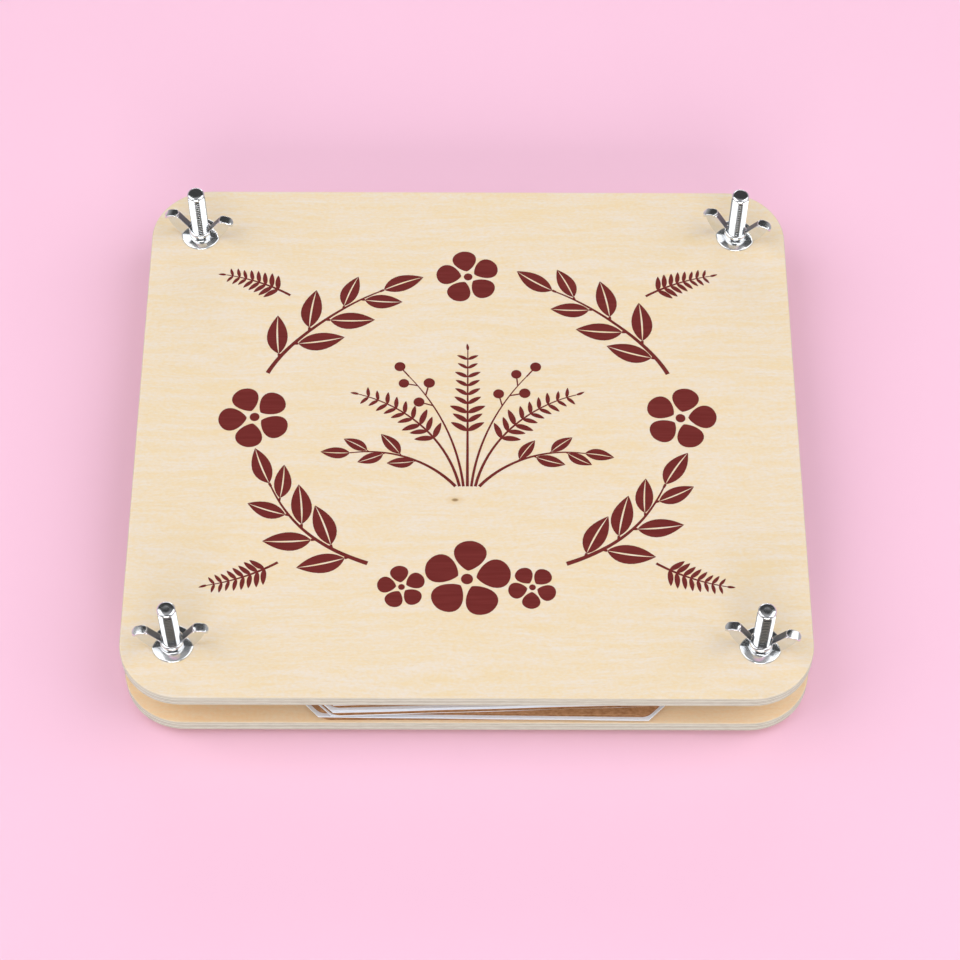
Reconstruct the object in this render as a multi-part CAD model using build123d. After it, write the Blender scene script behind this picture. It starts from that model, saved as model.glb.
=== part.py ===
from build123d import *
import os

# Flower press, in millimetres. The origin lies under the middle of the press, on the plane that its bolt
# heads stand on. +X runs to the right, +Y to the back and +Z up.

# Plywood boards
board_width = 220.0
board_depth = 200.0
board_thickness = 5.0
board_corner_radius = 20.0
board_edge_round = 0.4
board_hole_clearance = 0.35

# Bolt axes, measured in from the boards' edges
bolt_inset_side = 17.0
bolt_inset_front = 19.0

# Carriage bolts: a domed head that stands on the table, a square neck that grips the bottom board, and a
# threaded shank, drawn at its outer diameter, up to a chamfered end with a small centre dimple
bolt_diameter = 5.9
bolt_length = 45.0
bolt_end_chamfer = 0.7
bolt_dimple_diameter = 2.0
bolt_dimple_depth = 0.5
head_diameter = 16.0
head_height = 3.4
head_rim_height = 0.8
head_flat_diameter = 6.0
head_bulge_share = 0.06
neck_oversize = 0.3
neck_length = 3.6
neck_clearance = 0.05

# Wing nuts, pressed from steel sheet: a convex flange on the board, hollow underneath, a collar with a round
# brim about the bolt, and two upright webs of folded sheet that carry drooping finger tabs
nut_bore_clearance = 0.05
nut_collar_wall = 0.9
nut_collar_height = 3.6
nut_flange_diameter = 13.6
nut_flange_height = 0.9
nut_flange_edge_height = 0.15
nut_flange_bulge_share = 0.06
nut_hollow_diameter = 10.6
nut_hollow_height = 0.6
nut_web_thickness = 2.8
nut_web_foot_inset = 0.6
nut_web_foot_height = 0.3
nut_web_shoulder_height = 4.5
nut_web_tip_share = 0.75
nut_tab_thickness = 1.3
nut_wing_span = 24.0
nut_crest_spacing = 14.2
nut_crest_height = 10.5
nut_tip_height = 9.0
nut_web_bulge_share = 0.05
nut_tab_bulge_share = 0.13
nut_tab_width = 3.2
nut_tab_corner_radius = 1.3

# Sheets: papers that stand back from the boards' edges, with their corners cut off at 45 degrees to clear
# the bolts, and cards of the same shape that stand back from the papers and have rounded corners
blotter_side_margin = 11.0
blotter_front_margin = 3.0
blotter_bolt_clearance = 14.4
blotter_thickness = 0.8
card_margin = 1.0
card_corner_radius = 5.0
card_thickness = 1.6

# The loose stack from the bottom up. Each sheet has slipped to the right and to the back by a share of the
# paper's width and depth, and turned a little about its middle, in degrees.
stack_kinds = ["card", "blotter"] * 3 + ["blotter", "card"] * 2
stack_slip_shares = [
    (0.0313, -0.0145), (0.0317, -0.0129), (0.0326, -0.0127), (0.0302, -0.0051), (0.0336, -0.0111),
    (0.0354, -0.0064), (0.0346, -0.0064), (0.0348, -0.0060), (0.0379, -0.0023), (0.0343, -0.0064),
]
stack_turns = [0.29, -0.52, -0.60, 2.17, 2.00, 1.89, 1.80, 1.90, 1.70, 1.90]

# Each nut stopped at its own angle, in degrees about +Z
nut_turns = {"front_left": 1.1, "front_right": -7.4, "back_left": -7.6, "back_right": -14.6}

# Places that follow from the sizes above
bolt_radius = bolt_diameter / 2
bolt_x = board_width / 2 - bolt_inset_side
bolt_y = board_depth / 2 - bolt_inset_front
bolt_places = {
    "front_left": (-bolt_x, -bolt_y),
    "front_right": (bolt_x, -bolt_y),
    "back_left": (-bolt_x, bolt_y),
    "back_right": (bolt_x, bolt_y),
}
blotter_width = board_width - 2 * blotter_side_margin
blotter_depth = board_depth - 2 * blotter_front_margin
sheet_thickness = {"blotter": blotter_thickness, "card": card_thickness}
bottom_board_z = head_height
stack_z = bottom_board_z + board_thickness
top_board_z = stack_z + sum(sheet_thickness[kind] for kind in stack_kinds)
nut_seat_z = top_board_z + board_thickness
standing = (Align.CENTER, Align.CENTER, Align.MIN)


def upright_face(lines):
    """The face inside a closed row of lines, stood up so that it lies in X and Z."""
    return Plane.XZ * make_face(Curve() + lines)


def plain_board(underside):
    """A board with sanded edges and a round hole at each bolt."""
    outline = RectangleRounded(board_width, board_depth, board_corner_radius)
    board = extrude(outline, amount=board_thickness)
    rims = board.faces().sort_by(Axis.Z)
    board = fillet(rims[0].edges() + rims[-1].edges(), board_edge_round)
    hole = Cylinder(bolt_radius + board_hole_clearance, board_thickness, align=standing)
    for place in bolt_places.values():
        board -= Pos(*place) * hole
    return Pos(0, 0, underside) * board


def bottom_board():
    """The lower board, with square seats for the bolts' necks."""
    board = plain_board(bottom_board_z)
    seat_width = bolt_diameter + neck_oversize + 2 * neck_clearance
    seat = Box(seat_width, seat_width, neck_length + neck_clearance, align=standing)
    for x, y in bolt_places.values():
        board -= Pos(x, y, bottom_board_z) * seat
    return board


def carriage_bolt():
    """One bolt on the Z axis, standing on the flat of its domed head."""
    head_radius = head_diameter / 2
    end_z = head_height + bolt_length
    dome_foot = (head_radius, head_height - head_rim_height)
    crown = (head_flat_diameter / 2, 0)
    dome_chord = (Vector(*dome_foot) - Vector(*crown)).length
    outline = [
        Line((0, 0), crown),
        SagittaArc(crown, dome_foot, -head_bulge_share * dome_chord),
        Polyline(
            dome_foot,
            (head_radius, head_height),
            (bolt_radius, head_height),
            (bolt_radius, end_z - bolt_end_chamfer),
            (bolt_radius - bolt_end_chamfer, end_z),
            (bolt_dimple_diameter / 2, end_z),
            (0, end_z - bolt_dimple_depth),
            (0, 0),
        ),
    ]
    bolt = revolve(upright_face(outline), Axis.Z)
    neck_width = bolt_diameter + neck_oversize
    neck = Box(neck_width, neck_width, neck_length, align=standing)
    return bolt + Pos(0, 0, head_height) * neck


def nut_base(bore_radius, collar_radius):
    """The flange and the collar, hollow under the flange."""
    flange_edge = Vector(nut_flange_diameter / 2, nut_flange_edge_height)
    flange_top = Vector(collar_radius, nut_flange_height)
    brim = Vector(bore_radius, nut_collar_height)
    shoulder = Vector(collar_radius, nut_collar_height - nut_collar_wall)
    outline = [
        Polyline(
            brim,
            (bore_radius, nut_hollow_height),
            (nut_hollow_diameter / 2, 0),
            (flange_edge.X, 0),
            flange_edge,
        ),
        SagittaArc(flange_edge, flange_top, -nut_flange_bulge_share * (flange_top - flange_edge).length),
        Line(flange_top, shoulder),
        RadiusArc(shoulder, brim, -nut_collar_wall),
    ]
    return revolve(upright_face(outline), Axis.Z)


def nut_wing(collar_middle):
    """The wing on the +X side: an upright web from collar to flange, with a finger tab along its top."""
    crest = Vector(nut_crest_spacing / 2, nut_crest_height)
    tip = Vector(nut_wing_span / 2, nut_tip_height)
    below = Vector(0, -nut_tab_thickness)
    tab_sagitta = nut_tab_bulge_share * (tip - crest).length
    tab_outline = [
        SagittaArc(crest, tip, tab_sagitta),
        Line(tip, tip + below),
        SagittaArc(crest + below, tip + below, tab_sagitta),
        Line(crest + below, crest),
    ]
    tab = extrude(upright_face(tab_outline), amount=nut_tab_width / 2, both=True)
    tab_plan = RectangleRounded(tip.X - crest.X, nut_tab_width, nut_tab_corner_radius)
    tab &= extrude(Pos((tip.X + crest.X) / 2, 0) * tab_plan, amount=nut_crest_height + tab_sagitta)

    foot = Vector(nut_flange_diameter / 2 - nut_web_foot_inset, nut_web_foot_height)
    tab_middle = SagittaArc(crest + below / 2, tip + below / 2, tab_sagitta)
    web_tip = tab_middle @ nut_web_tip_share
    web_outline = [
        Line((collar_middle, nut_flange_height), foot),
        SagittaArc(foot, web_tip, -nut_web_bulge_share * (web_tip - foot).length),
        tab_middle.trim(0, nut_web_tip_share),
        Polyline(
            crest + below / 2,
            (collar_middle, nut_web_shoulder_height),
            (collar_middle, nut_flange_height),
        ),
    ]
    web = extrude(upright_face(web_outline), amount=nut_web_thickness / 2, both=True)
    return web + tab


def wing_nut():
    """One wing nut on the Z axis, seated at zero, with its wings along X."""
    bore_radius = bolt_radius + nut_bore_clearance
    collar_radius = bore_radius + nut_collar_wall
    wing = nut_wing((bore_radius + collar_radius) / 2)
    return nut_base(bore_radius, collar_radius) + wing + mirror(wing, about=Plane.YZ)


def blotter_outline():
    """A sheet of paper with its corners cut off, centred on the origin."""
    half_width = blotter_width / 2
    half_depth = blotter_depth / 2
    cut_reach = bolt_x + bolt_y - 2**0.5 * (bolt_radius + blotter_bolt_clearance)
    inner_x = cut_reach - half_depth
    inner_y = cut_reach - half_width
    return make_face(
        Polyline(
            (inner_x, -half_depth),
            (half_width, -inner_y),
            (half_width, inner_y),
            (inner_x, half_depth),
            (-inner_x, half_depth),
            (-half_width, inner_y),
            (-half_width, -inner_y),
            (-inner_x, -half_depth),
            close=True,
        )
    )


def card_outline():
    """The paper's outline, drawn in all round, with rounded corners."""
    outline = offset(blotter_outline(), amount=-card_margin, kind=Kind.INTERSECTION)
    return fillet(outline.vertices(), card_corner_radius)


def sheet_stack():
    """Every sheet by name, laid face to face from the bottom board up."""
    outlines = {"blotter": blotter_outline(), "card": card_outline()}
    counts = {"blotter": 0, "card": 0}
    sheets = {}
    z = stack_z
    for kind, (x_share, y_share), turn in zip(stack_kinds, stack_slip_shares, stack_turns):
        counts[kind] += 1
        place = Pos(x_share * blotter_width, y_share * blotter_depth, z) * Rot(0, 0, turn)
        sheets[f"{kind}_{counts[kind]}"] = place * extrude(outlines[kind], amount=sheet_thickness[kind])
        z += sheet_thickness[kind]
    return sheets


def flower_press():
    """Every piece by name, in its place."""
    pieces = {"bottom_board": bottom_board(), "top_board": plain_board(top_board_z)}
    bolt = carriage_bolt()
    nut = wing_nut()
    for corner, (x, y) in bolt_places.items():
        pieces[f"carriage_bolt_{corner}"] = Pos(x, y) * bolt
        pieces[f"wing_nut_{corner}"] = Pos(x, y, nut_seat_z) * Rot(0, 0, nut_turns[corner]) * nut
    pieces.update(sheet_stack())
    return pieces


os.makedirs("parts", exist_ok=True)
for name, piece in flower_press().items():
    export_step(piece, f"parts/{name}.step")
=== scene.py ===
import math

import bmesh
import bpy
from mathutils import Matrix, Vector, geometry


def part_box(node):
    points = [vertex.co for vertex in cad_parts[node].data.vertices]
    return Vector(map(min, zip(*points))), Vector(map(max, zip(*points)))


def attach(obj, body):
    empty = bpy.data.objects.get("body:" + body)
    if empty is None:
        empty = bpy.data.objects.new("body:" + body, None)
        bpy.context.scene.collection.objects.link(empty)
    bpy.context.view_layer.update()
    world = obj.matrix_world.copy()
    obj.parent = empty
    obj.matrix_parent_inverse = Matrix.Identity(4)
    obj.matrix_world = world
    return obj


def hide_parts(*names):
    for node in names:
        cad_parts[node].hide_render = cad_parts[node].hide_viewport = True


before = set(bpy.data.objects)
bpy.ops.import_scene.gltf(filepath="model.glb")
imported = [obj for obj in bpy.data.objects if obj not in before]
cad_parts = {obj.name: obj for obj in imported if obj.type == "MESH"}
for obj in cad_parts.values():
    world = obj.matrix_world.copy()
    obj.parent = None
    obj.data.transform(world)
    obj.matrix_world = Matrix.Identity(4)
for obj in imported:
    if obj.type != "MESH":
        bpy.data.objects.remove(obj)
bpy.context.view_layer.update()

# Flower press: two boards of birch plywood, a stack of blotting papers and corrugated cards between them,
# and four carriage bolts with wing nuts that draw the boards together. Forms are drawn in millimetres.
MM = 0.001
WELD = 0.001
CORNERS = ("front_left", "front_right", "back_left", "back_right")
SIDES = (-1, 1)
SHARP_ANGLE = 40
SMOOTH_ANGLE = 32
EDGE_STEPS = 2

# Boards
BOARD_THICKNESS = 5.0
BOARD_PLIES = 5
KNOT_WIDTH_SHARE = 0.55

# Carriage bolts with a rolled M6 thread
THREAD_RADIUS = 2.95
THREAD_DEPTH = 0.5
THREAD_PITCH = 1.0
THREAD_FOOT = 9.0
THREAD_STEPS = 40
THREAD_CREST_SHARE = 0.04
THREAD_ROOT_SHARE = 0.44
THREAD_SUNK_SHARE = 0.1
THREAD_RUN_OUT_TURNS = 0.9
THREAD_RUN_OUT_SHARE = 0.02
BOLT_STEPS = 48
BOLT_EDGE_ROUND = 0.1
BOLT_TIP_LENGTH = 1.1
BOLT_END_CHAMFER = 0.75
BOLT_END_DROP = 0.6
BOLT_END_BULGE_SHARE = 0.1
BOLT_END_STEPS = 6
BOLT_DIMPLE_RADIUS = 0.9
BOLT_DIMPLE_DEPTH = 0.1
HEAD_RADIUS = 8.0
HEAD_HEIGHT = 3.4
HEAD_RIM_HEIGHT = 0.8
HEAD_FLAT_RADIUS = 3.0
HEAD_BULGE_SHARE = 0.06
HEAD_STEPS = 10
NECK_WIDTH = 6.2
NECK_LENGTH = 3.6
NECK_EDGE_ROUND = 0.32

# Wing nuts, pressed from sheet
NUT_STEPS = 72
NUT_SHARP_ANGLE = 50
NUT_EDGE_ROUND = 0.1
NUT_BORE_RADIUS = 3.0
NUT_COLLAR_WALL = 0.9
NUT_COLLAR_HEIGHT = 3.6
NUT_COLLAR_FILLET = 0.22
NUT_FILLET_STEPS = 5
NUT_BRIM_STEPS = 8
QUARTER_ARC_SHARE = 0.2071
NUT_FLANGE_RADIUS = 6.8
NUT_FLANGE_HEIGHT = 0.9
NUT_FLANGE_EDGE_HEIGHT = 0.15
NUT_FLANGE_BULGE_SHARE = 0.018
NUT_FLANGE_STEPS = 9
NUT_RIM_WIDTH = 0.4
NUT_RIM_HEIGHT = 0.45
NUT_RIM_BULGE_SHARE = 0.15
NUT_RIM_STEPS = 6
NUT_HOLLOW_RADIUS = 5.3
NUT_HOLLOW_HEIGHT = 0.6
NUT_WING_EDGE_STEPS = 3
NUT_WEB_THICKNESS = 2.8
NUT_WEB_FOOT_INSET = 0.6
NUT_WEB_FOOT_HEIGHT = 0.3
NUT_WEB_SHOULDER_HEIGHT = 4.5
NUT_WEB_BULGE_SHARE = 0.05
NUT_WEB_STEPS = 10
NUT_WEB_TIP_STEPS = (8, 6)
NUT_WEB_EDGE_ROUND = 0.22
NUT_SHEARED_FACING = 0.3
NUT_TAB_THICKNESS = 1.3
NUT_TAB_WIDTH = 3.2
NUT_TAB_CORNER_RADIUS = 1.3
NUT_TAB_BULGE_SHARE = 0.13
NUT_TAB_STEPS = 24
NUT_TAB_EDGE_ROUND = 0.32
NUT_WING_REACH = 12.0
NUT_CREST_REACH = 7.1
NUT_CREST_HEIGHT = 10.5
NUT_TIP_HEIGHT = 9.0

# Sheets
SHEET_NAMES = [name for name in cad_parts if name.startswith(("blotter", "card"))]
SAME_POINT = 0.01
BLOTTER_AIR = 0.09
BLOTTER_EDGE_ROUND = 0.2
BLOTTER_SHARP_ANGLE = 60
BLOTTER_BORDER_STEP = 5.0
BLOTTER_WAVE_HEIGHT = 0.12
BLOTTER_WAVE_LENGTH = 38.0
BLOTTER_WAVE_SLANT = 29.0
BLOTTER_WAVE_BORDER = 14.0
BLOTTER_SIDE_WAVE_SHARE = 0.6
BLOTTER_SIDE_WAVE_RATE = 1.7
BLOTTER_SIDE_WAVE_START = 1.3
CARD_LINER = 0.32
CARD_MEDIUM = 0.2
FLUTE_PITCH = 3.4
FLUTE_STEPS = 10
FLUTE_SETBACK = 0.25

# Printed wreath on the top board
INK_FILM = 0.03
INK_SUNK = 0.01
INK_STEP = 0.002
BLADE_STEPS = 15
BLADE_TIP_SHARE = 0.001
BLADE_RIB_ROW = 1 / 6
STEM_FILM_SHARE = 0.8
STEM_TIP_SHARE = 0.35
STEM_STEPS = 20
STALK_WIDTH_SHARE = 0.6
BLADE_SCALE_RANGE = (0.9, 1.1)
DOT_STEPS = 20
WREATH_CENTRE = Vector((0, 2))
WREATH_REACH = Vector((71, 60))
WREATH_STEPS = 40
WREATH_RIPPLES = 6
WREATH_RIPPLE_SHARE = 0.012
SPRAY_FOOT = -22

# Camera and light
CAMERA_PLACE = Vector((1.22, -485.34, 772.66)) * MM
CAMERA_DIP = 58.06
CAMERA_HEADING = -0.36
CAMERA_ROLL = 0.47
CAMERA_LENS = 100.5
CAMERA_SENSOR = 36
CAMERA_CLIP = 0.01
FLOOR_REACH = 1.9

# Kinds of node that come up often
MATH = "ShaderNodeMath"
VECTOR_MATH = "ShaderNodeVectorMath"
RANGE = "ShaderNodeMapRange"
MAPPING = "ShaderNodeMapping"
NOISE = "ShaderNodeTexNoise"
BUMP = "ShaderNodeBump"
COMBINE = "ShaderNodeCombineXYZ"
JOIN = "GeometryNodeJoinGeometry"
TRANSFORM = "GeometryNodeTransform"

scene = bpy.context.scene
top_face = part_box("top_board")[1].z / MM


def feed(tree, node, inputs):
    """Fills a node's inputs, in order or by name, each with a value or with links from outputs."""
    for name, value in enumerate(inputs) if isinstance(inputs, list) else inputs.items():
        by_name = [s for s in node.inputs if s.enabled and s.name == name]
        socket = by_name[0] if by_name else node.inputs[name]
        sources = value if isinstance(value, list) else [value]
        if isinstance(sources[0], bpy.types.NodeSocket):
            for source in sources:
                tree.links.new(source, socket)
        else:
            socket.default_value = value


def add(tree, kind, inputs=None, operation=None, out=None, **settings):
    """Adds a node with its settings and inputs. Returns the output of this name, or else the first in use."""
    node = tree.nodes.new(kind)
    if operation:
        settings["operation"] = operation
    for name, value in settings.items():
        setattr(node, name, value)
    feed(tree, node, inputs or [])
    return next((s for s in node.outputs if s.enabled and out in (None, s.name)), None)


def colour(code):
    """An sRGB hex value as linear RGBA."""
    shares = [int(code[i : i + 2], 16) / 255 for i in (1, 3, 5)]
    return [s / 12.92 if s <= 0.04045 else ((s + 0.055) / 1.055) ** 2.4 for s in shares] + [1.0]


def per_mm(*sizes):
    """The Mapping scale at which a pattern's unit spans this many millimetres along X, Y and Z."""
    return [1 / (size * MM) for size in sizes]


def new_material(name):
    """A material with its tree, shader and object coordinates."""
    made = bpy.data.materials.new(name)
    made.use_nodes = True
    tree = made.node_tree
    return made, tree, tree.nodes["Principled BSDF"], add(tree, "ShaderNodeTexCoord", out="Object")


def washed(tree, under, over, source, start, end, most=1.0):
    """One colour over another, by a share that grows up to its most as a source goes from start to end."""
    share = add(tree, RANGE, {"Value": source, "From Min": start, "From Max": end, "To Max": most})
    return add(tree, "ShaderNodeMix", {"Factor": share, "A": under, "B": over}, data_type="RGBA")


def mottled(name, tones, sizes, detail, start=0.0, end=1.0):
    """A material whose colour wanders between two tones, in a noise of this size in millimetres. Returns it,
    its tree, its surface shader and the noise."""
    made, tree, shader, place = new_material(name)
    at = add(tree, MAPPING, {"Vector": place, "Scale": per_mm(*sizes)})
    noise = add(tree, NOISE, {"Vector": at, "Scale": 1, "Detail": detail})
    tone = washed(tree, colour(tones[0]), colour(tones[1]), noise, start, end)
    feed(tree, shader, {"Base Color": tone})
    return made, tree, shader, noise


def birch_plywood(name, underside, shift, tones, knots=()):
    """Birch plywood, rotary cut, sanded and left bare. The faces are pale and nearly plain, with short faint
    bands, flecks, fine fibre streaks and pores along the grain. The edges are greyer and show the plies."""
    made, tree, shader, place = new_material(name)
    veneer = add(tree, MAPPING, {"Vector": place, "Location": shift})
    wander_at = add(tree, MAPPING, {"Vector": veneer, "Scale": per_mm(70, 40, 40)})
    wander = add(tree, NOISE, {"Vector": wander_at, "Scale": 1, "Detail": 2}, out="Color")
    drift = add(tree, VECTOR_MATH, [wander, (0, 9 * MM, 0)], "MULTIPLY")
    figured = add(tree, VECTOR_MATH, [veneer, drift], "ADD")
    grain = {}
    for label, source, sizes, detail in (
        ("bands", figured, (18, 1.9, 1.9), 1),
        ("flecks", figured, (1.3, 0.7, 0.7), 1),
        ("streaks", figured, (16, 0.8, 0.8), 4),
        ("pores", figured, (2.6, 0.42, 0.42), 1),
        ("grit", place, (1.6, 1.6, 0.35), 3),
        ("gaps", place, (5, 5, 1), 2),
    ):
        at = add(tree, MAPPING, {"Vector": source, "Scale": per_mm(*sizes)})
        grain[label] = add(tree, NOISE, {"Vector": at, "Scale": 1, "Detail": detail})
    figure = add(tree, MATH, [grain["bands"], grain["flecks"]], "ADD")
    face = washed(tree, colour(tones[0]), colour(tones[1]), figure, 0.7, 1.3)
    face = washed(tree, face, colour("#eed3a4"), grain["streaks"], 0.4, 0.75, most=0.3)
    face = washed(tree, face, colour("#e2c79c"), grain["pores"], 0.6, 0.78, most=0.3)

    # Pin knots: a dark heart in a soft halo, both drawn out along the grain.
    for x, y, reach in knots:
        heart = (x * MM, y * MM, top_face * MM)
        offset = add(tree, VECTOR_MATH, [place, heart], "SUBTRACT")
        drawn_out = per_mm(reach, reach * KNOT_WIDTH_SHARE, reach)
        shaped = add(tree, VECTOR_MATH, [offset, drawn_out], "MULTIPLY")
        away = add(tree, VECTOR_MATH, [shaped], "LENGTH")
        face = washed(tree, face, colour("#e3c28c"), away, 3.2, 0.8, most=0.6)
        face = washed(tree, face, colour("#8d6a3f"), away, 1.1, 0.5, most=0.85)

    # Plies are counted up from the underside, and every other one is cut across its fibres.
    height = add(tree, "ShaderNodeSeparateXYZ", [place], out="Z")
    low, high = underside * MM, (underside + BOARD_THICKNESS) * MM
    plies = add(tree, RANGE, {"Value": height, "From Min": low, "From Max": high, "To Max": BOARD_PLIES})
    from_first = add(tree, MATH, [plies, 0.5], "SUBTRACT")
    crossed = add(tree, MATH, [from_first, 1.0], "PINGPONG")
    edge = washed(tree, colour("#d4ccbe"), colour("#dfdcd0"), crossed, 0.4, 0.6)
    edge = washed(tree, edge, colour("#cbbfb0"), grain["grit"], 0.42, 0.72, most=0.4)
    seam = add(tree, MATH, [plies, 0.5], "PINGPONG")
    gap_share = add(
        tree, RANGE, {"Value": grain["gaps"], "From Min": 0.35, "From Max": 0.65, "To Min": 0.35}
    )
    edge = washed(tree, edge, colour("#8f8475"), seam, 0.17, 0.06, most=gap_share)
    half = BOARD_PLIES / 2
    from_middle = add(tree, MATH, [plies, half], "SUBTRACT")
    from_middle = add(tree, MATH, [from_middle], "ABSOLUTE")
    tone = washed(tree, edge, face, from_middle, half - 0.2, half - 0.03)

    roughness = add(tree, RANGE, {"Value": grain["streaks"], "To Min": 0.5, "To Max": 0.68})
    relief = add(tree, MATH, [grain["streaks"], grain["pores"]], "SUBTRACT")
    bump = add(tree, BUMP, {"Height": relief, "Strength": 0.25, "Distance": 0.05 * MM})
    feed(tree, shader, {"Base Color": tone, "Roughness": roughness, "Normal": bump})
    return made


def zinc_plated_steel():
    """Bright zinc plate on pressed and rolled steel: a clear cool mirror, a little cloudy where the plating
    is thinner, with faint handling marks."""
    made, tree, shader, cloud = mottled("zinc_plated_steel", ("#eceef0", "#dcdee2"), (3, 3, 3), 3)
    roughness = add(tree, RANGE, {"Value": cloud, "To Min": 0.08, "To Max": 0.2})
    place = add(tree, "ShaderNodeTexCoord", out="Object")
    marks_at = add(tree, MAPPING, {"Vector": place, "Scale": per_mm(0.5, 0.5, 0.9)})
    marks = add(tree, NOISE, {"Vector": marks_at, "Scale": 1, "Detail": 2})
    bump = add(tree, BUMP, {"Height": marks, "Strength": 0.08, "Distance": 0.03 * MM})
    feed(tree, shader, {"Metallic": 1.0, "Roughness": roughness, "Normal": bump})
    return made


def sheared_steel():
    """The sheared edge of zinc-plated sheet: the same metal, torn and grainy, so it is a dull dark grey."""
    made, tree, shader, grain = mottled("sheared_steel", ("#666a6e", "#85898d"), (0.4, 0.4, 0.7), 3)
    roughness = add(tree, RANGE, {"Value": grain, "To Min": 0.35, "To Max": 0.55})
    bump = add(tree, BUMP, {"Height": grain, "Strength": 0.2, "Distance": 0.04 * MM})
    feed(tree, shader, {"Metallic": 1.0, "Roughness": roughness, "Normal": bump})
    return made


def blotting_paper():
    """Unsized white blotting paper: soft, matt and thick, with a cloud of short fibres."""
    made, tree, shader, fibres = mottled("blotting_paper", ("#f0f4fc", "#e0e4ef"), (0.9, 0.9, 0.5), 4)
    bump = add(tree, BUMP, {"Height": fibres, "Strength": 0.4, "Distance": 0.06 * MM})
    feed(tree, shader, {"Roughness": 0.95, "Specular IOR Level": 0.2, "Normal": bump})
    return made


def kraft_card():
    """Brown corrugated card with kraft liners: matt, with a cloud of light and dark fibres."""
    tones = ("#bf9168", "#9b6c47")
    made, tree, shader, fibres = mottled("kraft_card", tones, (1.4, 0.8, 0.8), 5, start=0.3, end=0.7)
    bump = add(tree, BUMP, {"Height": fibres, "Strength": 0.35, "Distance": 0.06 * MM})
    feed(tree, shader, {"Roughness": 0.88, "Specular IOR Level": 0.3, "Normal": bump})
    return made


def screen_ink():
    """Dark red screen-printing ink, dried into the veneer: flat and nearly matt, with faint grain."""
    tones = ("#6a1c19", "#772724")
    made, tree, shader = mottled("screen_ink", tones, (14, 0.7, 0.7), 4, start=0.35, end=0.75)[:3]
    feed(tree, shader, {"Roughness": 0.6, "Specular IOR Level": 0.25})
    return made


def arc(start, end, bulge_share, steps):
    """Points on a circular arc from start to end, which stands off its chord to the left by a share of it."""
    start, end = Vector(start), Vector(end)
    chord = end - start
    left = Vector((-chord.y, chord.x))
    half_angle = 2 * math.atan(2 * bulge_share)
    points = []
    for i in range(steps + 1):
        angle = half_angle * (2 * i / steps - 1)
        along = 0.5 + math.sin(angle) / (2 * math.sin(half_angle))
        off = (math.cos(angle) - math.cos(half_angle)) / (2 * math.sin(half_angle))
        points.append(start + chord * along + left * off)
    return points


def turned(profile, steps):
    """A closed form of revolution about Z, from a row of points at a radius and a height."""
    bm = bmesh.new()
    row = [bm.verts.new((point[0], 0, point[1])) for point in profile]
    line = [bm.edges.new(pair) for pair in zip(row, row[1:])]
    bmesh.ops.spin(bm, geom=row + line, cent=(0, 0, 0), axis=(0, 0, 1), angle=math.tau, steps=steps)
    bmesh.ops.remove_doubles(bm, verts=bm.verts, dist=WELD)
    bmesh.ops.recalc_face_normals(bm, faces=bm.faces)
    return bm


def plate(outline, low, high):
    """A flat plate with this outline in X and Y, between two heights."""
    bm = bmesh.new()
    floor = bm.faces.new([bm.verts.new((point[0], point[1], low)) for point in outline])
    raised = bmesh.ops.extrude_face_region(bm, geom=[floor], use_keep_orig=True)["geom"]
    for vert in raised:
        if isinstance(vert, bmesh.types.BMVert):
            vert.co.z = high
    bmesh.ops.recalc_face_normals(bm, faces=bm.faces)
    return bm


def round_edges(bm, radius, steps, sharper_than=SHARP_ANGLE):
    """Rounds every edge where the faces turn by more than an angle."""
    limit = math.radians(sharper_than)
    edges = [edge for edge in bm.edges if len(edge.link_faces) == 2 and edge.calc_face_angle() > limit]
    bmesh.ops.bevel(bm, geom=edges, offset=radius, segments=steps, profile=0.5, affect="EDGES")
    return bm


def as_mesh(bm, name):
    """The mesh of a form, which is freed."""
    mesh = bpy.data.meshes.new(name)
    bm.to_mesh(mesh)
    bm.free()
    return mesh


def held(mesh, name):
    """An object that holds a mesh while modifiers work on it."""
    holder = bpy.data.objects.new(name, mesh)
    scene.collection.objects.link(holder)
    return holder


def finished(holder):
    """The plain mesh that an object's modifiers make. The modifiers and the object are removed."""
    depsgraph = bpy.context.evaluated_depsgraph_get()
    mesh = bpy.data.meshes.new_from_object(holder.evaluated_get(depsgraph))
    holder.modifiers.clear()
    bpy.data.objects.remove(holder)
    return mesh


def crisp(mesh):
    """A mesh with its normals weighted by area, so that flat faces look flat beside their rounded edges."""
    holder = held(mesh, mesh.name)
    holder.modifiers.new("weigh", "WEIGHTED_NORMAL").keep_sharp = True
    return finished(holder)


def union(forms, name):
    """One skin round several closed forms that overlap."""
    first, *others = [held(as_mesh(form, name), name) for form in forms]
    for other in others:
        joint = first.modifiers.new("join", "BOOLEAN")
        joint.operation = "UNION"
        joint.solver = "EXACT"
        joint.object = other
    mesh = finished(first)
    for other in others:
        bpy.data.objects.remove(other)
    return mesh


def as_piece(name, mesh, finish, body, node=None):
    """Puts a mesh, in metres and in its place, on the body that it moves with."""
    mesh.materials.clear()
    mesh.materials.append(finish)
    mesh.shade_smooth()
    mesh.set_sharp_from_angle(angle=math.radians(SMOOTH_ANGLE))
    piece = bpy.data.objects.new(name, crisp(mesh))
    scene.collection.objects.link(piece)
    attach(piece, body)
    if node:
        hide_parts(node)
    return piece


def new_tree(name, **labels):
    """A Geometry Nodes tree with named inputs, listed by socket type. Returns it with its input sockets."""
    tree = bpy.data.node_groups.new(name, "GeometryNodeTree")
    for end in ("INPUT", "OUTPUT"):
        tree.interface.new_socket("Geometry", in_out=end, socket_type="NodeSocketGeometry")
    for kind, names in labels.items():
        for label in names.split():
            tree.interface.new_socket(label, in_out="INPUT", socket_type=kind)
    return tree, add(tree, "NodeGroupInput").node.outputs


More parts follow.
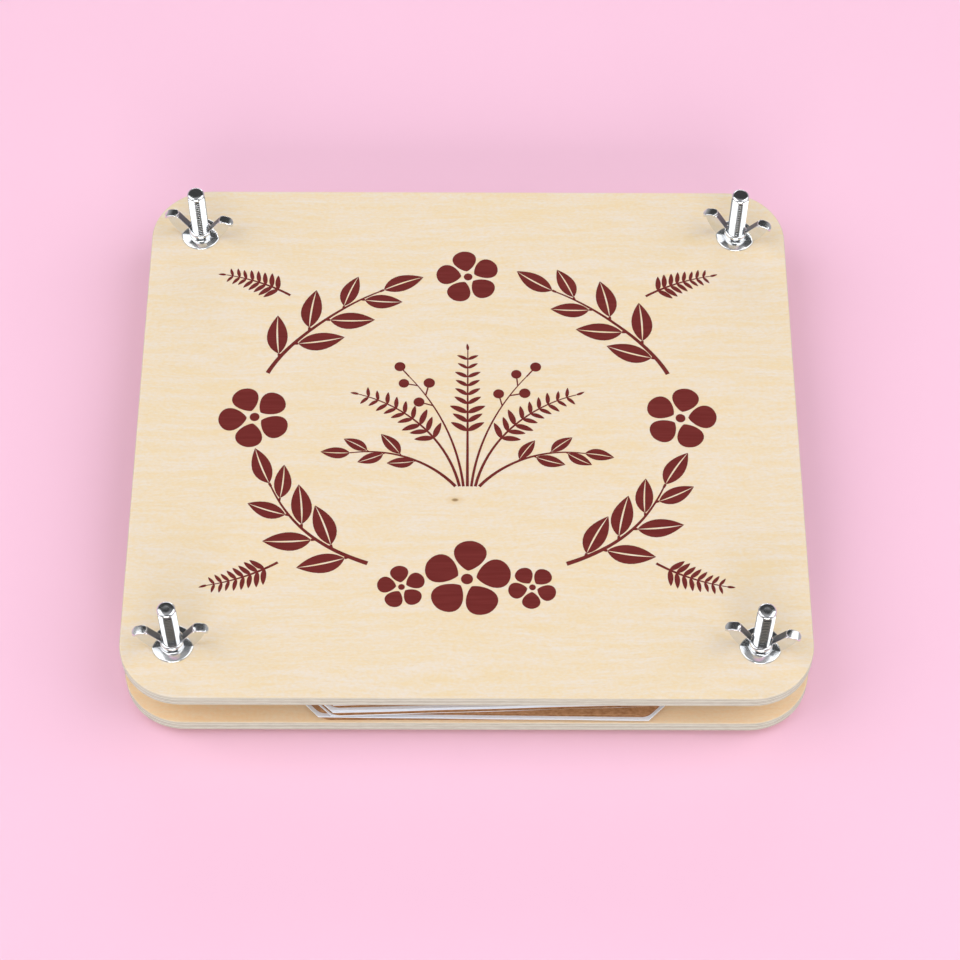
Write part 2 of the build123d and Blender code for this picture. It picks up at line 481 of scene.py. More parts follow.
def closed_tree(tree, forms, finish):
    """Ends a tree: its forms are joined, made real and given their finish."""
    joined = add(tree, JOIN, {"Geometry": forms})
    realized = add(tree, "GeometryNodeRealizeInstances", {"Geometry": joined})
    done = add(tree, "GeometryNodeSetMaterial", {"Geometry": realized, "Material": finish})
    add(tree, "NodeGroupOutput", {"Geometry": done})
    return tree


def grown(tree, start, **sizes):
    """The plain mesh that a tree makes from a starting mesh and its named inputs."""
    holder = held(start, tree.name)
    modifier = holder.modifiers.new(tree.name, "NODES")
    modifier.node_group = tree
    sockets = {s.name: s.identifier for s in tree.interface.items_tree if s.in_out == "INPUT"}
    for label, value in sizes.items():
        modifier[sockets[label]] = value
    return finished(holder)


def swept(tree, line, section, scale, lift):
    """A closed form along a line, with a section that stands upright on it, moved by a lift."""
    upright = add(tree, "GeometryNodeSetCurveNormal", {"Curve": line}, mode="Z_UP")
    form = add(
        tree,
        "GeometryNodeCurveToMesh",
        {"Curve": upright, "Profile Curve": section, "Scale": scale, "Fill Caps": True},
    )
    return add(tree, TRANSFORM, {"Geometry": form, "Translation": lift})


def thickened(tree, sheet, thickness):
    """A closed shell from an open sheet of faces and its copy, raised by a thickness."""
    up = add(tree, COMBINE, {"Z": thickness})
    raised = add(tree, "GeometryNodeExtrudeMesh", {"Mesh": sheet, "Offset": up, "Individual": False})
    under = add(tree, "GeometryNodeFlipFaces", {"Mesh": sheet})
    shell = add(tree, JOIN, {"Geometry": [raised, under]})
    return add(tree, "GeometryNodeMergeByDistance", {"Geometry": shell, "Distance": WELD * MM})


def rolled_thread_tree():
    """Winds a thread's ridge up a spiral and lets it run out at both ends. What it starts from is kept."""
    tree, given = new_tree(
        "rolled_thread",
        NodeSocketFloat="root_radius depth pitch turns foot",
        NodeSocketInt="steps",
        NodeSocketMaterial="finish",
    )
    rise = add(tree, MATH, [given["pitch"], given["turns"]], "MULTIPLY")
    spiral = add(
        tree,
        "GeometryNodeCurveSpiral",
        {
            "Resolution": given["steps"],
            "Rotations": given["turns"],
            "Start Radius": given["root_radius"],
            "End Radius": given["root_radius"],
            "Height": rise,
            "Reverse": True,
        },
    )
    # The spiral winds to the right with its normal away from the axis, so the section's X runs outwards.
    points = {}
    for off_share, along_share in (
        (-THREAD_SUNK_SHARE, -THREAD_ROOT_SHARE),
        (1.0, -THREAD_CREST_SHARE),
        (1.0, THREAD_CREST_SHARE),
        (-THREAD_SUNK_SHARE, THREAD_ROOT_SHARE),
    ):
        off = add(tree, MATH, [given["depth"], off_share], "MULTIPLY")
        along = add(tree, MATH, [given["pitch"], along_share], "MULTIPLY")
        points[f"Point {len(points) + 1}"] = add(tree, COMBINE, {"X": off, "Y": along})
    section = add(tree, "GeometryNodeCurvePrimitiveQuadrilateral", points, mode="POINTS")
    along = add(tree, "GeometryNodeSplineParameter", out="Factor")
    from_end = add(tree, MATH, [along, 0.5], "PINGPONG")
    turns_in = add(tree, MATH, [from_end, given["turns"]], "MULTIPLY")
    run_out = add(
        tree,
        RANGE,
        {"Value": turns_in, "From Max": THREAD_RUN_OUT_TURNS, "To Min": THREAD_RUN_OUT_SHARE},
    )
    lift = add(tree, COMBINE, {"Z": given["foot"]})
    ridge = swept(tree, spiral, section, run_out, lift)
    return closed_tree(tree, [ridge, given["Geometry"]], given["finish"])


def bolt_core(end_height):
    """A bolt without its ridge: domed head, square neck, a core at the thread's root and a chamfered tip."""
    root = THREAD_RADIUS - THREAD_DEPTH
    tip_foot = end_height - BOLT_TIP_LENGTH
    dome_foot = (HEAD_RADIUS, HEAD_HEIGHT - HEAD_RIM_HEIGHT)
    profile = [(0, 0)]
    profile += arc((HEAD_FLAT_RADIUS, 0), dome_foot, -HEAD_BULGE_SHARE, HEAD_STEPS)
    profile += [(HEAD_RADIUS, HEAD_HEIGHT), (root, HEAD_HEIGHT), (root, tip_foot)]
    profile += [(THREAD_RADIUS, tip_foot + THREAD_DEPTH / 2)]
    brim = (THREAD_RADIUS - BOLT_END_CHAMFER, end_height)
    profile += arc((THREAD_RADIUS, end_height - BOLT_END_DROP), brim, -BOLT_END_BULGE_SHARE, BOLT_END_STEPS)
    profile += [(BOLT_DIMPLE_RADIUS, end_height), (0, end_height - BOLT_DIMPLE_DEPTH)]
    bm = round_edges(turned(profile, BOLT_STEPS), BOLT_EDGE_ROUND, EDGE_STEPS)
    half = NECK_WIDTH / 2
    square = [(-half, -half), (half, -half), (half, half), (-half, half)]
    neck = plate(square, HEAD_HEIGHT, HEAD_HEIGHT + NECK_LENGTH)
    mesh = as_mesh(round_edges(neck, NECK_EDGE_ROUND, EDGE_STEPS), "neck")
    bm.from_mesh(mesh)
    bpy.data.meshes.remove(mesh)
    return bm


def nut_base():
    """The nut's flange and its collar with a round brim, hollow under the flange."""
    collar_radius = NUT_BORE_RADIUS + NUT_COLLAR_WALL
    brim = (NUT_BORE_RADIUS, NUT_COLLAR_HEIGHT)
    shoulder = (collar_radius, NUT_COLLAR_HEIGHT - NUT_COLLAR_WALL)
    edge = Vector((NUT_FLANGE_RADIUS, NUT_FLANGE_EDGE_HEIGHT))
    rim = edge + Vector((-NUT_RIM_WIDTH, NUT_RIM_HEIGHT))
    flange_top = Vector((collar_radius + NUT_COLLAR_FILLET, NUT_FLANGE_HEIGHT))
    wall_foot = flange_top + Vector((-NUT_COLLAR_FILLET, NUT_COLLAR_FILLET))
    profile = [brim, (NUT_BORE_RADIUS, NUT_HOLLOW_HEIGHT), (NUT_HOLLOW_RADIUS, 0), (NUT_FLANGE_RADIUS, 0)]
    profile += arc(edge, rim, -NUT_RIM_BULGE_SHARE, NUT_RIM_STEPS)
    profile += arc(rim, flange_top, -NUT_FLANGE_BULGE_SHARE, NUT_FLANGE_STEPS)[1:]
    profile += arc(flange_top, wall_foot, QUARTER_ARC_SHARE, NUT_FILLET_STEPS)[1:]
    profile += arc(shoulder, brim, -QUARTER_ARC_SHARE, NUT_BRIM_STEPS)
    return round_edges(turned(profile, NUT_STEPS), NUT_EDGE_ROUND, EDGE_STEPS, NUT_SHARP_ANGLE)


def nut_web():
    """The upright web of the wing on the +X side, from the collar and flange out to the tab."""
    inner = NUT_BORE_RADIUS + NUT_COLLAR_WALL / 2
    half_tab = NUT_TAB_THICKNESS / 2
    foot = (NUT_FLANGE_RADIUS - NUT_WEB_FOOT_INSET, NUT_WEB_FOOT_HEIGHT)
    crest = (NUT_CREST_REACH, NUT_CREST_HEIGHT - half_tab)
    tip = (NUT_WING_REACH, NUT_TIP_HEIGHT - half_tab)
    steps, kept = NUT_WEB_TIP_STEPS
    tab_middle = arc(crest, tip, NUT_TAB_BULGE_SHARE, steps)[: kept + 1]
    outline = [(inner, NUT_FLANGE_HEIGHT)]
    outline += arc(foot, tab_middle[-1], -NUT_WEB_BULGE_SHARE, NUT_WEB_STEPS)
    outline += tab_middle[-2::-1] + [(inner, NUT_WEB_SHOULDER_HEIGHT)]
    half_web = NUT_WEB_THICKNESS / 2
    web = round_edges(plate(outline, -half_web, half_web), NUT_WEB_EDGE_ROUND, NUT_WING_EDGE_STEPS)
    bmesh.ops.transform(web, matrix=Matrix.Rotation(math.pi / 2, 4, "X"), verts=web.verts)
    return web


def nut_tab():
    """The finger tab of the wing on the +X side: a strip that droops outwards, with rounded corners."""
    crest = (NUT_CREST_REACH, NUT_CREST_HEIGHT)
    tip = (NUT_WING_REACH, NUT_TIP_HEIGHT)
    bm = bmesh.new()
    rows = []
    for point in arc(crest, tip, NUT_TAB_BULGE_SHARE, NUT_TAB_STEPS):
        from_end = min(point.x - NUT_CREST_REACH, NUT_WING_REACH - point.x)
        short = min(max(NUT_TAB_CORNER_RADIUS - from_end, 0), NUT_TAB_CORNER_RADIUS)
        half = NUT_TAB_WIDTH / 2 - NUT_TAB_CORNER_RADIUS + math.sqrt(NUT_TAB_CORNER_RADIUS**2 - short**2)
        levels = (point.y, point.y - NUT_TAB_THICKNESS)
        rows.append([bm.verts.new((point.x, y, z)) for z in levels for y in (-half, half)])
    for a, b in zip(rows, rows[1:]):
        for i, j in ((0, 1), (1, 3), (3, 2), (2, 0)):
            bm.faces.new((a[i], a[j], b[j], b[i]))
    for row in (rows[0], rows[-1]):
        bm.faces.new((row[0], row[1], row[3], row[2]))
    bmesh.ops.recalc_face_normals(bm, faces=bm.faces)
    return round_edges(bm, NUT_TAB_EDGE_ROUND, NUT_WING_EDGE_STEPS, NUT_SHARP_ANGLE)


def sheet_outline(node):
    """The corners of a sheet's CAD node in order, in millimetres."""
    points = [Vector((vert.co.x, vert.co.y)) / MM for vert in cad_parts[node].data.vertices]
    hull = [points[i] for i in geometry.convex_hull_2d(points)]
    return [b for a, b in zip(hull[-1:] + hull, hull) if (b - a).length > SAME_POINT]


def sheet_turn(outline):
    """How far a sheet is turned: the slope of its longest edge from left to right."""
    edges = [b - a for a, b in zip(outline, outline[1:] + outline[:1])]
    longest = max((edge for edge in edges if abs(edge.x) > 2 * abs(edge.y)), key=lambda edge: edge.length)
    return math.atan(longest.y / longest.x)


def blotter_form(outline, low, high, sway):
    """A paper whose free border waves a little and whose cut edges are soft."""
    middle = sum(outline, Vector((0, 0))) / len(outline)
    border = []
    for a, b in zip(outline, outline[1:] + outline[:1]):
        pieces = max(1, round((b - a).length / BLOTTER_BORDER_STEP))
        border += [a.lerp(b, i / pieces) for i in range(pieces)]
    bm = bmesh.new()
    rings = []
    for level in (low, high):
        for inward in (BLOTTER_WAVE_BORDER, 0):
            ring = []
            for point in border:
                place = point + (middle - point).normalized() * inward
                front_phase = place.x / BLOTTER_WAVE_LENGTH * math.tau + place.y / BLOTTER_WAVE_SLANT
                side_phase = place.y / BLOTTER_WAVE_LENGTH * BLOTTER_SIDE_WAVE_RATE * math.tau
                wave = math.sin(front_phase)
                wave += BLOTTER_SIDE_WAVE_SHARE * math.sin(side_phase + BLOTTER_SIDE_WAVE_START)
                lift = 0 if inward else sway * wave
                ring.append(bm.verts.new((place.x, place.y, level + lift)))
            rings.append(ring)
    low_inner, low_outer, high_inner, high_outer = rings
    bm.faces.new(low_inner)
    bm.faces.new(high_inner)
    for inner, outer in ((low_inner, low_outer), (low_outer, high_outer), (high_outer, high_inner)):
        for i in range(len(border)):
            j = (i + 1) % len(border)
            bm.faces.new((inner[i], inner[j], outer[j], outer[i]))
    bmesh.ops.recalc_face_normals(bm, faces=bm.faces)
    return round_edges(bm, BLOTTER_EDGE_ROUND, EDGE_STEPS, BLOTTER_SHARP_ANGLE)


def fluted_medium_tree():
    """Lays a waved sheet between two liners. Its flutes run from left to right, and its ends follow the
    outline."""
    tree, given = new_tree(
        "fluted_medium",
        NodeSocketFloat="half_width depth cut_reach pitch wave_height thickness turn",
        NodeSocketInt="rows",
        NodeSocketVector="centre",
        NodeSocketMaterial="finish",
    )
    grid = add(
        tree,
        "GeometryNodeMeshGrid",
        {"Size X": 2.0, "Size Y": given["depth"], "Vertices X": 2, "Vertices Y": given["rows"]},
    )
    place = add(tree, "ShaderNodeSeparateXYZ", [add(tree, "GeometryNodeInputPosition")]).node.outputs
    off_middle = add(tree, MATH, [place["Y"]], "ABSOLUTE")
    cut = add(tree, MATH, [given["cut_reach"], off_middle], "SUBTRACT")
    reach = add(tree, MATH, [cut, given["half_width"]], "MINIMUM")
    x = add(tree, MATH, [place["X"], reach], "MULTIPLY")
    wave = add(tree, MATH, [place["Y"], given["pitch"]], "DIVIDE")
    wave = add(tree, MATH, [wave, math.tau], "MULTIPLY")
    wave = add(tree, MATH, [wave], "SINE")
    z = add(tree, MATH, [wave, given["wave_height"]], "MULTIPLY")
    waved_place = add(tree, COMBINE, {"X": x, "Y": place["Y"], "Z": z})
    waved = add(tree, "GeometryNodeSetPosition", {"Geometry": grid, "Position": waved_place})
    medium = thickened(tree, waved, given["thickness"])
    half_down = add(tree, MATH, [given["thickness"], -0.5], "MULTIPLY")
    sunk = add(tree, COMBINE, {"Z": half_down})
    middle = add(tree, VECTOR_MATH, [given["centre"], sunk], "ADD")
    turn = add(tree, "FunctionNodeAxisAngleToRotation", {"Axis": (0, 0, 1), "Angle": given["turn"]})
    laid = add(tree, TRANSFORM, {"Geometry": medium, "Translation": middle, "Rotation": turn})
    return closed_tree(tree, [laid, given["Geometry"]], given["finish"])


def printed_blade_tree():
    """One flat leaf, petal or berry of ink along +X, with a bare midrib. A tip of 1 gives pointed ends, and
    one of 0.5 gives round ones."""
    tree, given = new_tree("printed_blade", NodeSocketFloat="length width rib fullness tip bend film")
    grid = add(
        tree,
        "GeometryNodeMeshGrid",
        {"Size X": 1.0, "Size Y": 1.0, "Vertices X": BLADE_STEPS, "Vertices Y": 4},
    )
    place = add(tree, "ShaderNodeSeparateXYZ", [add(tree, "GeometryNodeInputPosition")]).node.outputs
    u = add(tree, MATH, [place["X"], 0.5], "ADD")
    u = add(
        tree,
        RANGE,
        {"Value": u, "To Min": BLADE_TIP_SHARE, "To Max": 1 - BLADE_TIP_SHARE},
        interpolation_type="SMOOTHSTEP",
    )
    early = add(tree, MATH, [u, given["fullness"]], "POWER")
    swing = add(tree, MATH, [early, 2.0, -1.0], "MULTIPLY_ADD")
    square = add(tree, MATH, [swing, 2.0], "POWER")
    left = add(tree, MATH, [1.0, square], "SUBTRACT")
    swell = add(tree, MATH, [left, given["tip"]], "POWER")

    # Of the grid's three rows of faces, the middle one lies on the midrib and is left out.
    off_rib = add(tree, MATH, [place["Y"]], "ABSOLUTE")
    inside = add(tree, MATH, [off_rib, BLADE_RIB_ROW], "LESS_THAN")
    halves = add(tree, "GeometryNodeDeleteGeometry", {"Geometry": grid, "Selection": inside}, domain="FACE")
    across = add(
        tree,
        RANGE,
        {
            "Value": off_rib,
            "From Min": BLADE_RIB_ROW,
            "From Max": 0.5,
            "To Min": given["rib"],
            "To Max": given["width"],
        },
    )
    side = add(tree, MATH, [place["Y"]], "SIGN")
    for factor in (0.5, across, swell):
        side = add(tree, MATH, [side, factor], "MULTIPLY")
    x = add(tree, MATH, [u, given["length"]], "MULTIPLY")
    sweep = add(tree, MATH, [u, u], "MULTIPLY")
    sweep = add(tree, MATH, [sweep, given["bend"]], "MULTIPLY")
    y = add(tree, MATH, [side, sweep], "ADD")
    shaped_place = add(tree, COMBINE, {"X": x, "Y": y})
    shaped = add(tree, "GeometryNodeSetPosition", {"Geometry": halves, "Position": shaped_place})
    flat = add(tree, "GeometryNodeMergeByDistance", {"Geometry": shaped, "Distance": WELD * MM})
    add(tree, "NodeGroupOutput", {"Geometry": thickened(tree, flat, given["film"])})
    return tree


def printed_sprig_tree(blade_tree):
    """A stem of ink along each line that it starts from, with blades on stalks to either side and one at the
    tip."""
    tree, given = new_tree(
        "printed_sprig",
        NodeSocketFloat="blade_length blade_width rib fullness tip bend stalk splay base_scale end_scale "
        "stem_width film",
        NodeSocketInt="count bare seed",
        NodeSocketBool="paired",
        NodeSocketMaterial="finish",
    )
    stem = add(tree, "GeometryNodeMeshToCurve", {"Mesh": given["Geometry"]})
    along = add(tree, "GeometryNodeSplineParameter", out="Factor")
    taper = add(tree, RANGE, {"Value": along, "To Min": 1.0, "To Max": STEM_TIP_SHARE})
    stem_film = add(tree, MATH, [given["film"], STEM_FILM_SHARE], "MULTIPLY")
    section = add(
        tree,
        "GeometryNodeCurvePrimitiveQuadrilateral",
        {"Width": given["stem_width"], "Height": stem_film},
        mode="RECTANGLE",
    )
    half_film = add(tree, MATH, [given["film"], 0.5], "MULTIPLY")
    lift = add(tree, COMBINE, {"Z": half_film})
    ink_forms = [swept(tree, stem, section, taper, lift)]
    stalk_end = add(tree, COMBINE, {"X": given["stalk"]})
    stalk_line = add(tree, "GeometryNodeCurvePrimitiveLine", {"End": stalk_end})
    stalk = swept(tree, stalk_line, section, STALK_WIDTH_SHARE, lift)

    # Blades alternate or stand in pairs above the bare foot, and the last point has one that looks ahead.
    spots = add(tree, "GeometryNodeResampleCurve", {"Curve": stem, "Count": given["count"]})
    index = add(tree, "GeometryNodeSplineParameter", out="Index")
    last = add(tree, MATH, [given["count"], 1.5], "SUBTRACT")
    is_end = add(tree, MATH, [index, last], "GREATER_THAN")
    not_end = add(tree, MATH, [1.0, is_end], "SUBTRACT")
    above_foot = add(tree, MATH, [index, given["bare"]], "GREATER_THAN")
    twin_end = add(tree, MATH, [is_end, given["paired"]], "MULTIPLY")
    no_twin = add(tree, MATH, [1.0, twin_end], "SUBTRACT")
    odd = add(tree, MATH, [index, 2.0], "MODULO")
    even = add(tree, MATH, [1.0, odd], "SUBTRACT")
    tangent = add(tree, "GeometryNodeInputTangent")
    ahead = add(tree, "FunctionNodeAlignRotationToVector", {"Vector": tangent}, axis="X", pivot_axis="Z")
    size = add(
        tree, RANGE, {"Value": along, "To Min": given["base_scale"], "To Max": given["end_scale"]}
    )
    least, most = BLADE_SCALE_RANGE
    chance = add(
        tree,
        "FunctionNodeRandomValue",
        {"Min": least, "Max": most, "ID": index, "Seed": given["seed"]},
        data_type="FLOAT",
    )
    scale = add(tree, MATH, [size, chance], "MULTIPLY")
    for side, offbeat, allowed in ((1.0, odd, above_foot), (-1.0, even, no_twin)):
        swing = given["splay"]
        for factor in (side, not_end, chance):
            swing = add(tree, MATH, [swing, factor], "MULTIPLY")
        by = add(tree, "FunctionNodeAxisAngleToRotation", {"Axis": (0, 0, 1), "Angle": swing})
        turn = add(
            tree, "FunctionNodeRotateRotation", {"Rotation": ahead, "Rotate By": by}, rotation_space="LOCAL"
        )
        bend = add(tree, MATH, [given["bend"], -side], "MULTIPLY")
        sizes = {label: given[label] for label in ("rib", "fullness", "tip", "film")}
        sizes.update(length=given["blade_length"], width=given["blade_width"], bend=bend)
        blade = add(tree, "GeometryNodeGroup", node_tree=blade_tree, inputs=sizes)
        blade = add(tree, TRANSFORM, {"Geometry": blade, "Translation": stalk_end})
        leaf = add(tree, JOIN, {"Geometry": [blade, stalk]})
        grows = add(tree, MATH, [offbeat, given["paired"]], "MAXIMUM")
        for share in (above_foot, allowed):
            grows = add(tree, MATH, [grows, share], "MULTIPLY")
        leaves = add(
            tree,
            "GeometryNodeInstanceOnPoints",
            {"Points": spots, "Selection": grows, "Instance": leaf, "Rotation": turn, "Scale": scale},
        )
        ink_forms.append(leaves)
    return closed_tree(tree, ink_forms, given["finish"])


def printed_blossom_tree(blade_tree):
    """A blossom at each point that it starts from: round petals about a bare eye with a dot in it."""
    tree, given = new_tree(
        "printed_blossom",
        NodeSocketFloat="petal_length petal_width eye dot film",
        NodeSocketInt="petals seed",
        NodeSocketMaterial="finish",
    )
    sizes = {"rib": 0.0, "fullness": 1.35, "tip": 0.55, "bend": 0.0}
    sizes.update(length=given["petal_length"], width=given["petal_width"], film=given["film"])
    petal = add(tree, "GeometryNodeGroup", node_tree=blade_tree, inputs=sizes)
    ring = add(tree, "GeometryNodeMeshCircle", {"Vertices": given["petals"], "Radius": given["eye"]})
    outward = add(tree, "GeometryNodeInputPosition")
    facing = add(tree, "FunctionNodeAlignRotationToVector", {"Vector": outward}, axis="X", pivot_axis="Z")
    petals = add(
        tree, "GeometryNodeInstanceOnPoints", {"Points": ring, "Instance": petal, "Rotation": facing}
    )
    disc = add(
        tree,
        "GeometryNodeMeshCylinder",
        {"Vertices": DOT_STEPS, "Radius": given["dot"], "Depth": given["film"]},
    )
    half_film = add(tree, MATH, [given["film"], 0.5], "MULTIPLY")
    lift = add(tree, COMBINE, {"Z": half_film})
    disc = add(tree, TRANSFORM, {"Geometry": disc, "Translation": lift})
    blossom = add(tree, JOIN, {"Geometry": [petals, disc]})
    size = add(tree, "GeometryNodeInputNamedAttribute", {"Name": "size"}, data_type="FLOAT")
    spin = add(tree, "FunctionNodeRandomValue", {"Max": math.tau, "Seed": given["seed"]}, data_type="FLOAT")
    turn = add(tree, "FunctionNodeAxisAngleToRotation", {"Axis": (0, 0, 1), "Angle": spin})
    blossoms = add(
        tree,
        "GeometryNodeInstanceOnPoints",
        {"Points": given["Geometry"], "Instance": blossom, "Rotation": turn, "Scale": size},
    )
    return closed_tree(tree, [blossoms], given["finish"])


def stem_lines(name, lines, layer):
    """A mesh of open lines on the top board, each a hair higher than the last, so no two share a plane."""
    mesh = bpy.data.meshes.new(name)
    points, edges = [], []
    for i, line in enumerate(lines):
        start = len(points)
        height = top_face - INK_SUNK + (layer + i) * INK_STEP
        points += [(point.x * MM, point.y * MM, height * MM) for point in line]
        edges += [(j, j + 1) for j in range(start, len(points) - 1)]
    mesh.from_pydata(points, edges, [])
    return mesh


def blossom_points(name, spots):
    """A mesh of loose points on the top board, each with the size of its blossom."""
    mesh = bpy.data.meshes.new(name)
    mesh.from_pydata([(x * MM, y * MM, (top_face - INK_SUNK) * MM) for x, y, size in spots], [], [])
    sizes = mesh.attributes.new("size", "FLOAT", "POINT")
    for value, spot in zip(sizes.data, spots):
        value.value = spot[2]
    return mesh


def wreath_arm(side, start, end):
    """One arm of the wreath on its left or right side, between two angles up from the level."""
    line = []
    for i in range(WREATH_STEPS + 1):
        angle = math.radians(start + (end - start) * i / WREATH_STEPS)
        reach = Vector((side * WREATH_REACH.x * math.cos(angle), WREATH_REACH.y * math.sin(angle)))
        line.append(WREATH_CENTRE + reach * (1 + WREATH_RIPPLE_SHARE * math.sin(WREATH_RIPPLES * angle)))
    return line


def curved_stem(start, heading, length, curl):
    """A short stem that leaves a point at a heading and curls steadily, in degrees."""
    line = [Vector(start)]
    for i in range(STEM_STEPS):
        angle = math.radians(heading + curl * (i + 0.5) / STEM_STEPS)
        line.append(line[-1] + Vector((math.cos(angle), math.sin(angle))) * (length / STEM_STEPS))
    return line


def spray_pair(offset, lean, length, curl):
    """Two stems of the spray in the middle, which lean and curl away from each other."""
    return [
        curved_stem((side * offset, SPRAY_FOOT), 90 - side * lean, length, -side * curl) for side in SIDES
    ]


# Finishes
plywood_top = birch_plywood(
    "birch_plywood_top",
    top_face - BOARD_THICKNESS,
    (0.31, 0.17, 0),
    ("#efe1d1", "#efd8b0"),
    knots=((-4.0, -27.2, 1.2), (72.5, -58.9, 0.8)),
)
# The bottom board is the same plywood, but its tones are paler and warmer than the top's. This is painted
# light: it lifts and warms the bottom board's face, which lies in shade under the top board.
plywood_bottom_painted_lift = birch_plywood(
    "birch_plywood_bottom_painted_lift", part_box("bottom_board")[0].z / MM, (0.83, 0.52, 0), ("#f8e0c0", "#f8d6aa")
)
steel = zinc_plated_steel()
sheared = sheared_steel()
paper = blotting_paper()
card = kraft_card()
ink = screen_ink()

# Boards
for node, finish in (("top_board", plywood_top), ("bottom_board", plywood_bottom_painted_lift)):
    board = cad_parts[node]
    board.data.materials.clear()
    board.data.materials.append(finish)

# Bolts and wing nuts
thread_tree = rolled_thread_tree()
nut_forms = [nut_base()]
for half_turn in (0, math.pi):
    for form in (nut_web(), nut_tab()):
        bmesh.ops.transform(form, matrix=Matrix.Rotation(half_turn, 4, "Z"), verts=form.verts)
        nut_forms.append(form)
nut_mesh = union(nut_forms, "wing_nut")
sheared_faces = [
    face.index
    for face in nut_mesh.polygons
    if abs(face.center.y) < NUT_WEB_THICKNESS / 2 - NUT_WEB_EDGE_ROUND
    and abs(face.normal.y) < NUT_SHEARED_FACING
    and face.normal.x * face.center.x < 0 < face.normal.z
    and NUT_BORE_RADIUS + NUT_COLLAR_WALL < abs(face.center.x) < NUT_CREST_REACH
]
for corner in CORNERS:
    low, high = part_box(f"carriage_bolt_{corner}")
    axis = Vector(((low.x + high.x) / 2, (low.y + high.y) / 2, 0))
    end_height = high.z / MM
    core = as_mesh(bolt_core(end_height), f"bolt_{corner}")
    core.transform(Matrix.Scale(MM, 4))
    mesh = grown(
        thread_tree,
        core,
        root_radius=(THREAD_RADIUS - THREAD_DEPTH) * MM,
        depth=THREAD_DEPTH * MM,
        pitch=THREAD_PITCH * MM,
        turns=(end_height - BOLT_TIP_LENGTH - THREAD_FOOT) / THREAD_PITCH,
        foot=THREAD_FOOT * MM,
        steps=THREAD_STEPS,
        finish=steel,
    )
    mesh.transform(Matrix.Translation(axis))
    as_piece(f"bolt_{corner}", mesh, steel, "base", f"carriage_bolt_{corner}")

    nut_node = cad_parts[f"wing_nut_{corner}"]
    farthest = max((vert.co.xy - axis.xy for vert in nut_node.data.vertices), key=lambda reach: reach.length)
    turn = Matrix.Rotation(math.atan(farthest.y / farthest.x), 4, "Z")
    seat = Matrix.Translation((axis.x, axis.y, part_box(f"wing_nut_{corner}")[0].z))
    mesh = nut_mesh.copy()
    mesh.transform(seat @ turn @ Matrix.Scale(MM, 4))
    nut = as_piece(f"nut_{corner}", mesh, steel, f"wing_nut_{corner}", f"wing_nut_{corner}")
    nut.data.materials.append(sheared)
    for index in sheared_faces:
        nut.data.polygons[index].material_index = 1

# Sheets
medium_tree = fluted_medium_tree()
heights = {name: [corner.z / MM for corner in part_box(name)] for name in SHEET_NAMES}
stack_low = min(low for low, high in heights.values())
stack_high = max(high for low, high in heights.values())
for name in SHEET_NAMES:
    low, high = heights[name]
    outline = sheet_outline(name)
    if name.startswith("blotter"):
        share = ((low + high) / 2 - stack_low) / (stack_high - stack_low)
        sway = BLOTTER_WAVE_HEIGHT * math.sin(math.pi * share)
        mesh = as_mesh(blotter_form(outline, low + BLOTTER_AIR / 2, high - BLOTTER_AIR / 2, sway), name)
        mesh.transform(Matrix.Scale(MM, 4))
        as_piece(f"paper_{name}", mesh, paper, name, name)
        continue
    liners = plate(outline, low, low + CARD_LINER)
    liners.from_mesh(as_mesh(plate(outline, high - CARD_LINER, high), name))
    mesh = as_mesh(liners, name)
    mesh.transform(Matrix.Scale(MM, 4))
    turn = sheet_turn(outline)
    centre = sum(outline, Vector((0, 0))) / len(outline)
    square = [Matrix.Rotation(-turn, 2) @ (point - centre) for point in outline]
    half_width = max(point.x for point in square) - FLUTE_SETBACK
    half_depth = max(point.y for point in square) - FLUTE_SETBACK
    cut_reach = max(point.x + point.y for point in square) - FLUTE_SETBACK
    mesh = grown(
        medium_tree,
        mesh,
        half_width=half_width * MM,
        depth=2 * half_depth * MM,
        cut_reach=cut_reach * MM,
        pitch=FLUTE_PITCH * MM,
        wave_height=(high - low - 2 * CARD_LINER - CARD_MEDIUM) / 2 * MM,
        thickness=CARD_MEDIUM * MM,
        rows=round(2 * half_depth / FLUTE_PITCH * FLUTE_STEPS),
        centre=Vector((centre.x, centre.y, (low + high) / 2)) * MM,
        turn=turn,
        finish=card,
    )
    as_piece(f"corrugated_{name}", mesh, card, name, name)

